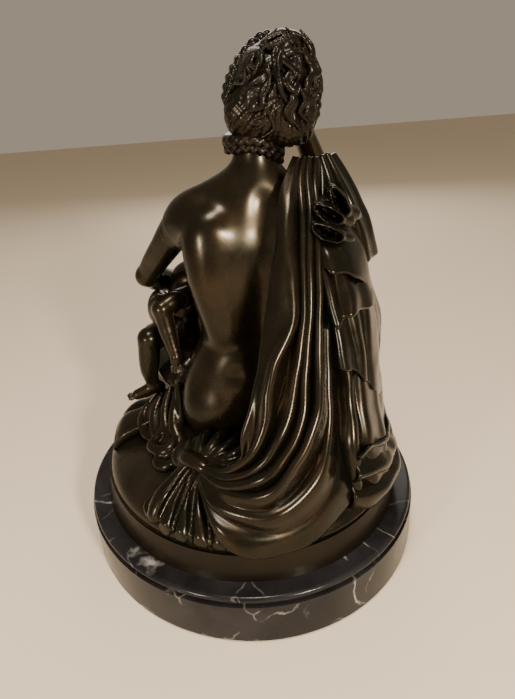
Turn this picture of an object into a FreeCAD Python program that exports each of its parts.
import FreeCAD, Part
import os
from FreeCAD import Placement, Rotation, Vector

# Seated bronze mother and child on an oval marble base.
# Row frame: origin at the middle of the underside, +Z up, long axis of the oval along Y, the figure faces -Y.
# The figure is laid out in its own frame, which is turned about Z on the base by the cell figure_turn.

doc = FreeCAD.newDocument("statuette")
dims = doc.addObject("Spreadsheet::Sheet", "dims")

SIZES = {
    # base, from the table up
    "felt_thick": 1.5,
    "felt_inset": 5,
    "marble_width": 260,
    "marble_length": 284,
    "marble_side": 30,
    "groove_depth": 3,
    "groove_tall": 1.5,
    "bead_inset": 1,
    "bead_tall": 5,
    "bead_round": 2.4,
    "plinth_inset_foot": 14,
    "plinth_inset_top": 18,
    "plinth_tall": 18,
    "plinth_wall": 4,
    "plinth_flange": 14,
    "terrain_rise": 27,
    "terrain_wall": 4,
    # fixing hardware inside the plinth
    "stud_spacing": 120,
    "stud_radius": 4,
    "stud_length": 42,
    "strap_wide": 24,
    "strap_thick": 6,
    "strap_long": 150,
    "washer_radius": 11,
    "washer_thick": 2,
    "nut_flats": 13,
    "nut_tall": 6.5,
    "pocket_radius": 14,
    "pocket_deep": 14,
    "stud_clearance": 0.5,
    # figure
    "figure_turn": -13.3,
    "bronze_wall": 4,
    "cloth_thick": 5,
    "braid_reach": 30,
    "braid_radius": 4.5,
}

# Landmarks of the two figures in the figure's own frame: x to her left, y to her back, z up.
LANDMARKS = {
    "neck_base": (-20, 0, 266),
    "skull": (-32, -6, 318),
    "chin": (-22, -24, 286),
    "crown_knot": (-37, 27, 332),
    "nape": (-20, 16, 288),
    "left_shoulder": (32, 0, 246),
    "left_elbow": (68, -40, 194),
    "left_wrist": (37, -90, 173),
    "left_fingers": (2, -95, 174),
    "right_shoulder": (-68, -2, 248),
    "right_elbow": (-80, -68, 232),
    "right_wrist": (-54, -24, 297),
    "right_fingers": (-62, -17, 326),
    "right_hip": (-34, -4, 118),
    "right_knee": (-78, -80, 206),
    "right_ankle": (-72, -92, 72),
    "right_toe": (-70, -116, 64),
    "left_hip": (20, -4, 116),
    "left_knee": (68, -92, 128),
    "left_ankle": (14, -98, 70),
    "left_toe": (-12, -116, 63),
    "baby_hip": (44, -62, 152),
    "baby_chest": (32, -52, 186),
    "baby_skull": (20, -52, 222),
    "baby_right_shoulder": (42, -36, 182),
    "baby_right_elbow": (59, -10, 173),
    "baby_right_hand": (50, -4, 140),
    "baby_left_shoulder": (16, -54, 190),
    "baby_left_elbow": (-8, -52, 178),
    "baby_left_hand": (-14, -40, 204),
    "baby_right_hip": (56, -60, 148),
    "baby_right_knee": (74, -32, 144),
    "baby_right_ankle": (77, -30, 104),
    "baby_right_toe": (96, -28, 94),
    "baby_left_hip": (32, -66, 146),
    "baby_left_knee": (0, -80, 152),
    "baby_left_ankle": (-18, -86, 118),
    "baby_left_toe": (-22, -100, 110),
    "cascade_head": (-88, 32, 232),
    "cascade_foot": (-106, 34, 128),
    "hip_cloth_back": (16, 46, 102),
    "hip_cloth_side": (60, 4, 98),
}

# Radii at the two ends of each limb.
LIMB_RADII = {
    "left_upper_arm": (13, 10),
    "left_forearm": (10, 7.5),
    "left_hand": (7.5, 5),
    "right_forearm": (11, 7.2),
    "right_hand": (7.2, 5),
    "right_thigh": (32, 22),
    "right_shin": (22, 14),
    "right_foot": (9, 6),
    "left_thigh": (32, 22),
    "left_shin": (20, 14),
    "left_foot": (9, 6),
    "baby_right_upper_arm": (11, 9),
    "baby_right_lower_arm": (9, 6),
    "baby_left_upper_arm": (11, 9),
    "baby_left_lower_arm": (9, 6),
    "baby_right_thigh": (16, 12),
    "baby_right_shin": (12, 8),
    "baby_right_foot": (8, 5),
    "baby_left_thigh": (16, 12),
    "baby_left_shin": (12, 8),
    "baby_left_foot": (8, 5),
    "cascade": (15, 15),
    "hip_cloth": (17, 17),
}

# Level cross-sections of the torso and the mantle: z, centre x, centre y, half width, half depth.
TORSO_SECTIONS = [
    (88, -8, 8, 44, 34),
    (106, -8, 8, 54, 39),
    (126, -8, 9, 52, 38),
    (146, -9, 11, 40, 31),
    (162, -10, 12, 34, 26),
    (186, -12, 10, 38, 29),
    (212, -15, 7, 44, 33),
    (238, -18, 4, 50, 30),
    (254, -20, 4, 42, 22),
    (268, -22, 5, 20, 17),
]
MANTLE_SECTIONS = [
    (76, -52, 34, 54, 50),
    (110, -60, 22, 52, 48),
    (150, -64, 14, 50, 42),
    (190, -67, 10, 46, 38),
    (225, -68, 6, 42, 32),
    (255, -64, 4, 32, 22),
    (276, -57, 2, 19, 13),
]


def fill_sheet():
    """Writes every driving dimension to the sheet and gives its cell an alias."""
    cells = dict(SIZES)
    for name, point in LANDMARKS.items():
        for letter, value in zip("xyz", point):
            cells[f"{name}_{letter}"] = value
    for name, (start, end) in LIMB_RADII.items():
        cells[f"{name}_start"] = start
        cells[f"{name}_end"] = end
    for row, (alias, value) in enumerate(cells.items(), start=1):
        dims.set(f"A{row}", alias)
        dims.set(f"B{row}", str(value))
        dims.setAlias(f"B{row}", alias)
    doc.recompute()


def size(alias):
    return float(dims.get(alias))


def landmark(name):
    return Vector(*(size(f"{name}_{letter}") for letter in "xyz"))


fill_sheet()
TURN = Placement(Vector(0, 0, 0), Rotation(Vector(0, 0, 1), size("figure_turn")))
NODES = []

# Heights of the base's layers, as formulas of the sheet.
MARBLE_FOOT = "dims.felt_thick"
GROOVE_FOOT = f"{MARBLE_FOOT} + dims.marble_side"
BEAD_FOOT = f"{GROOVE_FOOT} + dims.groove_tall"
PLINTH_FOOT = f"{BEAD_FOOT} + dims.bead_tall"
PLINTH_HEAD = f"{PLINTH_FOOT} + dims.plinth_tall"


def add(kind, name, **formulas):
    """A document object whose properties are bound to formulas of the sheet."""
    thing = doc.addObject(kind, name)
    for prop, formula in formulas.items():
        thing.setExpression(prop, formula)
    return thing


def at(thing, point=(0, 0, 0), rotation=None, turned=False):
    """Places a primitive, in the figure's frame if turned is set."""
    local = Placement(Vector(*point), rotation or Rotation())
    thing.Placement = TURN.multiply(local) if turned else local
    return thing


def fuse(name, parts):
    joined = doc.addObject("Part::MultiFuse", name)
    joined.Shapes = parts
    return joined


def cut(name, base, *tools):
    """Takes each tool away from the base in turn."""
    for number, tool in enumerate(tools):
        less = doc.addObject("Part::Cut", f"{name}_less{number}")
        less.Base = base
        less.Tool = tool
        base = less
    return base


def common(name, base, tool):
    shared = doc.addObject("Part::Common", name)
    shared.Base = base
    shared.Tool = tool
    return shared


def node(label, thing):
    """Names a finished sub-part: its Label becomes its file's name."""
    thing.Label = label
    NODES.append(thing)
    return thing


# ---------------------------------------------------------------- base


def oval(name, inset, foot):
    """The base's oval in a level plane, its outline moved in by inset. Its long axis lies along Y."""
    ring = add(
        "Part::Ellipse",
        name,
        MajorRadius=f"dims.marble_length / 2 - ({inset})",
        MinorRadius=f"dims.marble_width / 2 - ({inset})",
    )
    ring.Placement = Placement(Vector(0, 0, 0), Rotation(Vector(0, 0, 1), 90))
    ring.setExpression(".Placement.Base.z", foot)
    return ring


def slab(name, inset, foot, tall):
    """A straight-sided oval slab."""
    body = add("Part::Extrusion", name, LengthFwd=tall)
    body.Base = oval(f"{name}_outline", inset, foot)
    body.DirMode = "Custom"
    body.Dir = Vector(0, 0, 1)
    body.Solid = True
    return body


def tapered_slab(name, inset_foot, foot, inset_head, head):
    """An oval slab whose side slopes from one inset to another."""
    body = doc.addObject("Part::Loft", name)
    body.Sections = [
        oval(f"{name}_foot", inset_foot, foot),
        oval(f"{name}_head", inset_head, head),
    ]
    body.Solid = True
    body.Ruled = True
    return body


def pair_along_y(name, make):
    """Two copies of a fitting, one at each stud."""
    made = []
    for side, sign in (("near", "+"), ("far", "-")):
        thing = make(f"{name}_{side}")
        thing.setExpression(".Placement.Base.y", f"{sign}dims.stud_spacing / 2")
        made.append(thing)
    return made


def make_base():
    node("felt_sheet", slab("felt", "dims.felt_inset", "0", "dims.felt_thick"))

    def bore(name):
        drill = add("Part::Cylinder", name, Radius="dims.stud_radius + dims.stud_clearance")
        drill.Height = size("marble_side") * 2
        return drill

    def pocket(name):
        tool = add("Part::Cylinder", name, Radius="dims.pocket_radius")
        tool.setExpression("Height", "dims.pocket_deep + dims.felt_thick")
        return tool

    side = slab("marble_slab", "0", MARBLE_FOOT, "dims.marble_side")
    groove = slab("marble_groove", "dims.groove_depth", GROOVE_FOOT, "dims.groove_tall")
    bead = slab("marble_bead", "dims.bead_inset", BEAD_FOOT, "dims.bead_tall")
    doc.recompute()
    rounded = doc.addObject("Part::Fillet", "marble_bead_rounded")
    rounded.Base = bead
    rims = [
        (number, size("bead_round"), size("bead_round"))
        for number, edge in enumerate(bead.Shape.Edges, start=1)
        if edge.isClosed() and len(edge.Vertexes) == 1
    ]
    rounded.Edges = rims
    stone = fuse("marble_stone", [side, groove, rounded])
    drilled = cut(
        "marble_drilled",
        stone,
        *pair_along_y("marble_bore", bore),
        *pair_along_y("marble_pocket", pocket),
    )
    node("marble_base", drilled)

    wall = "dims.plinth_wall"
    outer = tapered_slab(
        "plinth_outer", "dims.plinth_inset_foot", PLINTH_FOOT, "dims.plinth_inset_top", PLINTH_HEAD
    )
    inner = tapered_slab(
        "plinth_inner",
        f"dims.plinth_inset_foot + {wall}",
        PLINTH_FOOT,
        f"dims.plinth_inset_top + {wall}",
        f"{PLINTH_HEAD} - {wall}",
    )
    opening = slab(
        "plinth_opening", "dims.plinth_inset_top + dims.plinth_flange", PLINTH_FOOT, "dims.plinth_tall"
    )
    node("bronze_plinth", cut("plinth", outer, inner, opening))


def make_fixings():
    """Two straps brazed across the plinth, each with a stud down through the marble, a washer and a nut."""
    plinth_foot = size("felt_thick") + size("marble_side") + size("groove_tall") + size("bead_tall")
    strap_foot = plinth_foot + size("plinth_tall") - size("plinth_wall") - size("strap_thick")
    pocket_roof = size("felt_thick") + size("pocket_deep")

    def strap(name):
        bar = add(
            "Part::Box", name, Length="dims.strap_long", Width="dims.strap_wide", Height="dims.strap_thick"
        )
        tapped = add("Part::Cylinder", f"{name}_hole", Radius="dims.stud_radius")
        tapped.Height = size("strap_thick") * 2
        sign = 1 if name.endswith("near") else -1
        bar.Placement.Base = Vector(
            -size("strap_long") / 2, sign * size("stud_spacing") / 2 - size("strap_wide") / 2, strap_foot
        )
        tapped.Placement.Base = Vector(0, sign * size("stud_spacing") / 2, strap_foot - size("strap_thick") / 2)
        return cut(f"{name}_tapped", bar, tapped)

    node("fixing_straps", fuse("straps", [strap("strap_near"), strap("strap_far")]))

    def rod(name):
        stud = add("Part::Cylinder", name, Radius="dims.stud_radius", Height="dims.stud_length")
        stud.Placement.Base.z = strap_foot + size("strap_thick") - size("stud_length")
        return stud

    node("fixing_studs", fuse("studs", pair_along_y("stud", rod)))

    def disc(name):
        plate = add("Part::Cylinder", name, Radius="dims.washer_radius", Height="dims.washer_thick")
        hole = add("Part::Cylinder", f"{name}_hole", Radius="dims.stud_radius + dims.stud_clearance")
        hole.Height = size("washer_thick") * 3
        sign = 1 if name.endswith("near") else -1
        foot = pocket_roof - size("washer_thick")
        plate.Placement.Base = Vector(0, sign * size("stud_spacing") / 2, foot)
        hole.Placement.Base = Vector(0, sign * size("stud_spacing") / 2, foot - size("washer_thick"))
        return cut(f"{name}_bored", plate, hole)

    node("washers", fuse("washer_pair", [disc("washer_near"), disc("washer_far")]))

    def hexagon(name):
        block = add(
            "Part::Prism", name, Circumradius="dims.nut_flats / sqrt(3)", Height="dims.nut_tall"
        )
        block.Polygon = 6
        thread = add("Part::Cylinder", f"{name}_thread", Radius="dims.stud_radius")
        thread.Height = size("nut_tall") * 3
        sign = 1 if name.endswith("near") else -1
        foot = pocket_roof - size("washer_thick") - size("nut_tall")
        block.Placement.Base = Vector(0, sign * size("stud_spacing") / 2, foot)
        thread.Placement.Base = Vector(0, sign * size("stud_spacing") / 2, foot - size("nut_tall"))
        return cut(f"{name}_tapped", block, thread)

    node("nuts", fuse("nut_pair", [hexagon("nut_near"), hexagon("nut_far")]))


# ---------------------------------------------------------------- figure


def ball(name, centre, radii, tilt=None):
    """An ellipsoid with its half sizes along x, y and z, in the figure's frame."""
    body = doc.addObject("Part::Ellipsoid", name)
    body.Radius1 = radii[2]
    body.Radius2 = radii[0]
    body.Radius3 = radii[1]
    return at(body, centre, tilt, turned=True)


def limb(name, start, end, less="0"):
    """A tapered limb between two landmarks, its radii less by a wall where it is a core to cut out."""
    first = landmark(start)
    last = landmark(end)
    form = f"{name}_form" if less == "0" else f"{name}_core"
    span = " + ".join(f"(dims.{end}_{letter} - dims.{start}_{letter})^2" for letter in "xyz")
    shoulder = add("Part::Sphere", f"{form}_top", Radius=f"dims.{name}_start - {less}")
    tip = add("Part::Sphere", f"{form}_tip", Radius=f"dims.{name}_end - {less}")
    bone = add(
        "Part::Cone",
        f"{form}_bone",
        Radius1=f"(dims.{name}_start - {less}) * 0.97",
        Radius2=f"(dims.{name}_end - {less}) * 0.97",
        Height=f"sqrt({span})",
    )
    aim = Rotation(Vector(0, 0, 1), last - first)
    at(shoulder, first, aim, turned=True)
    at(tip, last, aim, turned=True)
    at(bone, first, aim, turned=True)
    return fuse(form, [shoulder, bone, tip])


def lofted(name, sections, shrink=0.0):
    """A solid through level ellipses, each moved in by shrink."""
    rings = []
    last = len(sections) - 1
    for number, (z, x, y, wide, deep) in enumerate(sections):
        if number == 0:
            z += shrink
        if number == last:
            z -= shrink
        ring = doc.addObject("Part::Ellipse", f"{name}_ring{number}")
        across = wide >= deep
        ring.MajorRadius = max(wide, deep) - shrink
        ring.MinorRadius = min(wide, deep) - shrink
        at(ring, (x, y, z), Rotation(Vector(0, 0, 1), 0 if across else 90), turned=True)
        rings.append(ring)
    body = doc.addObject("Part::Loft", name)
    body.Sections = rings
    body.Solid = True
    return body


def shell_of(name, sections, wall):
    return cut(name, lofted(f"{name}_outer", sections), lofted(f"{name}_core", sections, wall))


def block(name, low, high):
    body = doc.addObject("Part::Box", name)
    body.Length, body.Width, body.Height = (b - a for a, b in zip(low, high))
    return at(body, low, turned=True)


def make_terrain():
    """The cast ground: a hollow dome that closes the plinth's top."""
    head = (
        size("felt_thick")
        + size("marble_side")
        + size("groove_tall")
        + size("bead_tall")
        + size("plinth_tall")
    )
    wide = size("marble_width") / 2 - size("plinth_inset_top") - 1
    long = size("marble_length") / 2 - size("plinth_inset_top") - 1
    wall = size("terrain_wall")
    rise = size("terrain_rise")

    def dome(name, less):
        body = doc.addObject("Part::Ellipsoid", name)
        body.Radius1 = rise - less
        body.Radius2 = wide - less
        body.Radius3 = long - less
        body.Placement.Base = Vector(0, 0, head)
        return body

    above = doc.addObject("Part::Box", "above_plinth")
    above.Length, above.Width, above.Height = 2 * wide, 2 * long, rise * 2
    above.Placement.Base = Vector(-wide, -long, head)
    skin = cut("terrain_skin", dome("terrain_outer", 0), dome("terrain_inner", wall))
    return node("terrain", common("terrain_dome", skin, above)), head


def make_woman(ground):
    wall = size("bronze_wall")
    torso = cut("torso_seated", shell_of("torso", TORSO_SECTIONS, wall), ground)
    node("torso", torso)
    torso_block = lofted("torso_block", TORSO_SECTIONS)

    bow = Rotation(Vector(0, 1, 0), -16).multiply(Rotation(Vector(1, 0, 0), 16))
    skull = ball("skull_ball", landmark("skull"), (25, 31, 34), bow)
    jaw = ball("jaw_ball", landmark("chin") + Vector(0, 10, 6), (16, 18, 17), bow)
    neck = add("Part::Cone", "neck_cone", Radius1="16", Radius2="13")
    neck_line = landmark("skull") - landmark("neck_base")
    neck.Height = neck_line.Length * 0.8
    at(neck, landmark("neck_base"), Rotation(Vector(0, 0, 1), neck_line), turned=True)
    head = fuse("head_mass", [skull, jaw, neck])
    node("woman_head", cut("head", head, torso_block))

    face_side = block("face_side", (-70, -80, 270), (10, -20, 338))
    hair_mass = ball("hair_mass", landmark("skull") + Vector(0, 2, 2), (29, 35, 34), bow)
    hair = cut("hair", hair_mass, head, face_side)
    node("hair", hair)
    knot = ball("knot_ball", landmark("crown_knot"), (14, 11, 13), bow)
    node("hair_knot", cut("knot", knot, hair_mass))
    for side, begin in (("left", -18), ("right", 98)):
        braid = add("Part::Torus", f"{side}_braid_ring", Radius1="dims.braid_reach", Radius2="dims.braid_radius")
        braid.Angle3 = 100
        upright = bow.multiply(Rotation(Vector(1, 0, 0), 90)).multiply(Rotation(Vector(0, 0, 1), begin))
        at(braid, landmark("skull") + bow.multVec(Vector(0, -4, 4)), upright, turned=True)
        node(f"{side}_braid", cut(f"{side}_braid_laid", braid, hair_mass))
    roll = ball("nape_ball", landmark("nape"), (20, 9, 6.5))
    nape = cut("nape_roll", roll, head, hair_mass)
    node("nape_roll", nape)

    left_upper = limb("left_upper_arm", "left_shoulder", "left_elbow")
    left_lower = limb("left_forearm", "left_elbow", "left_wrist")
    left_palm = limb("left_hand", "left_wrist", "left_fingers")
    node("left_upper_arm", cut("left_upper", left_upper, torso_block))
    node("left_forearm", cut("left_lower", left_lower, left_upper, torso_block))
    node("left_hand", cut("left_palm", left_palm, left_lower))

    right_lower = limb("right_forearm", "right_elbow", "right_wrist")
    right_palm = limb("right_hand", "right_wrist", "right_fingers")
    node("right_hand", cut("right_palm", right_palm, right_lower, head, hair_mass))
    return torso_block, right_lower, left_upper, left_lower


def make_drapery(ground, torso_block, right_lower):
    """The mantle, skirt and ground cloth, each a plain closed solid of the true extent."""
    wall = size("bronze_wall")
    mantle = cut("mantle", shell_of("mantle_shell", MANTLE_SECTIONS, wall * 1.5), torso_block, ground)
    node("mantle_back", mantle)
    mantle_block = lofted("mantle_block", MANTLE_SECTIONS)
    node("right_forearm", cut("right_lower", right_lower, mantle_block))

    right_thigh = limb("right_thigh", "right_hip", "right_knee")
    right_shin = limb("right_shin", "right_knee", "right_ankle")
    left_thigh = limb("left_thigh", "left_hip", "left_knee")
    left_shin = limb("left_shin", "left_knee", "left_ankle")
    clear = (torso_block, mantle_block, ground)
    right_skirt = fuse("right_leg", [right_thigh, right_shin])
    left_skirt = fuse("left_leg", [left_thigh, left_shin])
    cores = {
        side: fuse(
            f"{side}_leg_core",
            [
                limb(f"{side}_thigh", f"{side}_hip", f"{side}_knee", "dims.bronze_wall"),
                limb(f"{side}_shin", f"{side}_knee", f"{side}_ankle", "dims.bronze_wall"),
            ],
        )
        for side in ("right", "left")
    }
    node("right_skirt", cut("right_skirt_laid", right_skirt, cores["right"], *clear, right_lower))
    node("left_skirt", cut("left_skirt_laid", left_skirt, cores["left"], right_skirt, *clear))
    legs = (right_skirt, left_skirt)

    for side, leg in (("right", right_shin), ("left", left_shin)):
        foot = limb(f"{side}_foot", f"{side}_ankle", f"{side}_toe")
        node(f"{side}_foot", cut(f"{side}_foot_bare", foot, *legs, ground))

    side_panel = ball("side_ball", (-100, -24, 128), (18, 40, 62))
    side_core = ball("side_core", (-100, -24, 128), (18 - wall, 40 - wall, 62 - wall))
    node("mantle_side", cut("side_shell", side_panel, side_core, mantle_block, right_skirt, ground, right_lower))
    sleeve = ball("sleeve_ball", (-94, -42, 212), (20, 30, 24))
    node("mantle_sleeve", cut("sleeve", sleeve, mantle_block, right_lower, right_skirt, side_panel))

    cascade = limb("cascade", "cascade_head", "cascade_foot")
    node("mantle_cascade", cut("cascade_laid", cascade, mantle_block, side_panel, sleeve))

    spread = ball("spread_ball", (-16, 10, 56), (90, 104, 38))
    behind = block("behind", (-120, 22, 40), (92, 130, 100))
    clear_rim = oval_keep("rim_keep")
    cloth = common("spread_within", common("spread_behind", spread, behind), clear_rim)
    node("ground_drapery", cut("ground_cloth", cloth, ground, mantle_block, torso_block))

    crumple = limb("hip_cloth", "hip_cloth_back", "hip_cloth_side")
    node("hip_drapery", cut("crumple", crumple, torso_block, ground, spread, mantle_block, *legs))

    hem = ball("hem_ball", (-20, -88, 74), (74, 28, 26))
    feet_room = block("feet_room", (-110, -140, 40), (60, -106, 70))
    node("front_hem", cut("hem", hem, ground, feet_room, *legs, side_panel))

    sash = ball("sash_ball", (-14, -14, 214), (42, 22, 36))
    node("chest_drapery", cut("sash", sash, torso_block, mantle_block))
    return legs, sash, crumple


def oval_keep(name):
    """The space over the plinth's top that cloth may fill."""
    body = slab(name, "dims.plinth_inset_top + 1", PLINTH_HEAD, "dims.terrain_rise * 2")
    return body


def make_child(torso_block, legs, sash, arms):
    hips = ball("baby_hips_ball", landmark("baby_hip"), (22, 19, 19))
    chest = ball("baby_chest_ball", landmark("baby_chest"), (19, 16, 26))
    trunk = fuse("baby_trunk", [hips, chest])
    clear = (torso_block, sash, *legs, *arms)
    node("child_body", cut("child_trunk", trunk, *clear))
    skull = ball("baby_skull_ball", landmark("baby_skull"), (19, 21, 21))
    node("child_head", cut("child_skull", skull, trunk, torso_block, sash))
    masses = (trunk, *clear)
    for side in ("right", "left"):
        arm = fuse(
            f"baby_{side}_arm",
            [
                limb(f"baby_{side}_upper_arm", f"baby_{side}_shoulder", f"baby_{side}_elbow"),
                limb(f"baby_{side}_lower_arm", f"baby_{side}_elbow", f"baby_{side}_hand"),
            ],
        )
        leg = fuse(
            f"baby_{side}_leg",
            [
                limb(f"baby_{side}_thigh", f"baby_{side}_hip", f"baby_{side}_knee"),
                limb(f"baby_{side}_shin", f"baby_{side}_knee", f"baby_{side}_ankle"),
                limb(f"baby_{side}_foot", f"baby_{side}_ankle", f"baby_{side}_toe"),
            ],
        )
        node(f"child_{side}_arm", cut(f"child_{side}_arm_bare", arm, *masses))
        node(f"child_{side}_leg", cut(f"child_{side}_leg_bare", leg, arm, *masses))


def largest_solid(shape):
    return max(shape.Solids, key=lambda solid: solid.Volume)


def export():
    doc.recompute()
    broken = [o.Name for o in doc.Objects if {"Invalid", "Error"} & set(o.State)]
    if broken:
        raise RuntimeError(f"failed objects: {broken}")
    os.makedirs("parts", exist_ok=True)
    for thing in NODES:
        shape = thing.Shape
        if shape.isNull() or not shape.isValid():
            raise RuntimeError(f"bad shape: {thing.Label}")
        paired = thing.Label in ("fixing_straps", "fixing_studs", "washers", "nuts")
        kept = shape if paired else largest_solid(shape)
        print(f"{thing.Label:20s} solids {len(shape.Solids)} volume {kept.Volume / 1000:8.1f} cm3")
        kept.exportStep(f"parts/{thing.Label}.step")


make_base()
make_fixings()
ground, head_level = make_terrain()
ground_block = doc.addObject("Part::Ellipsoid", "ground_block")
ground_block.Radius1 = size("terrain_rise")
ground_block.Radius2 = size("marble_width") / 2 - size("plinth_inset_top") - 1
ground_block.Radius3 = size("marble_length") / 2 - size("plinth_inset_top") - 1
ground_block.Placement.Base = Vector(0, 0, head_level)
torso_block, right_lower, left_upper, left_lower = make_woman(ground_block)
legs, sash, crumple = make_drapery(ground_block, torso_block, right_lower)
make_child(torso_block, legs, sash, (left_upper, left_lower))
export()
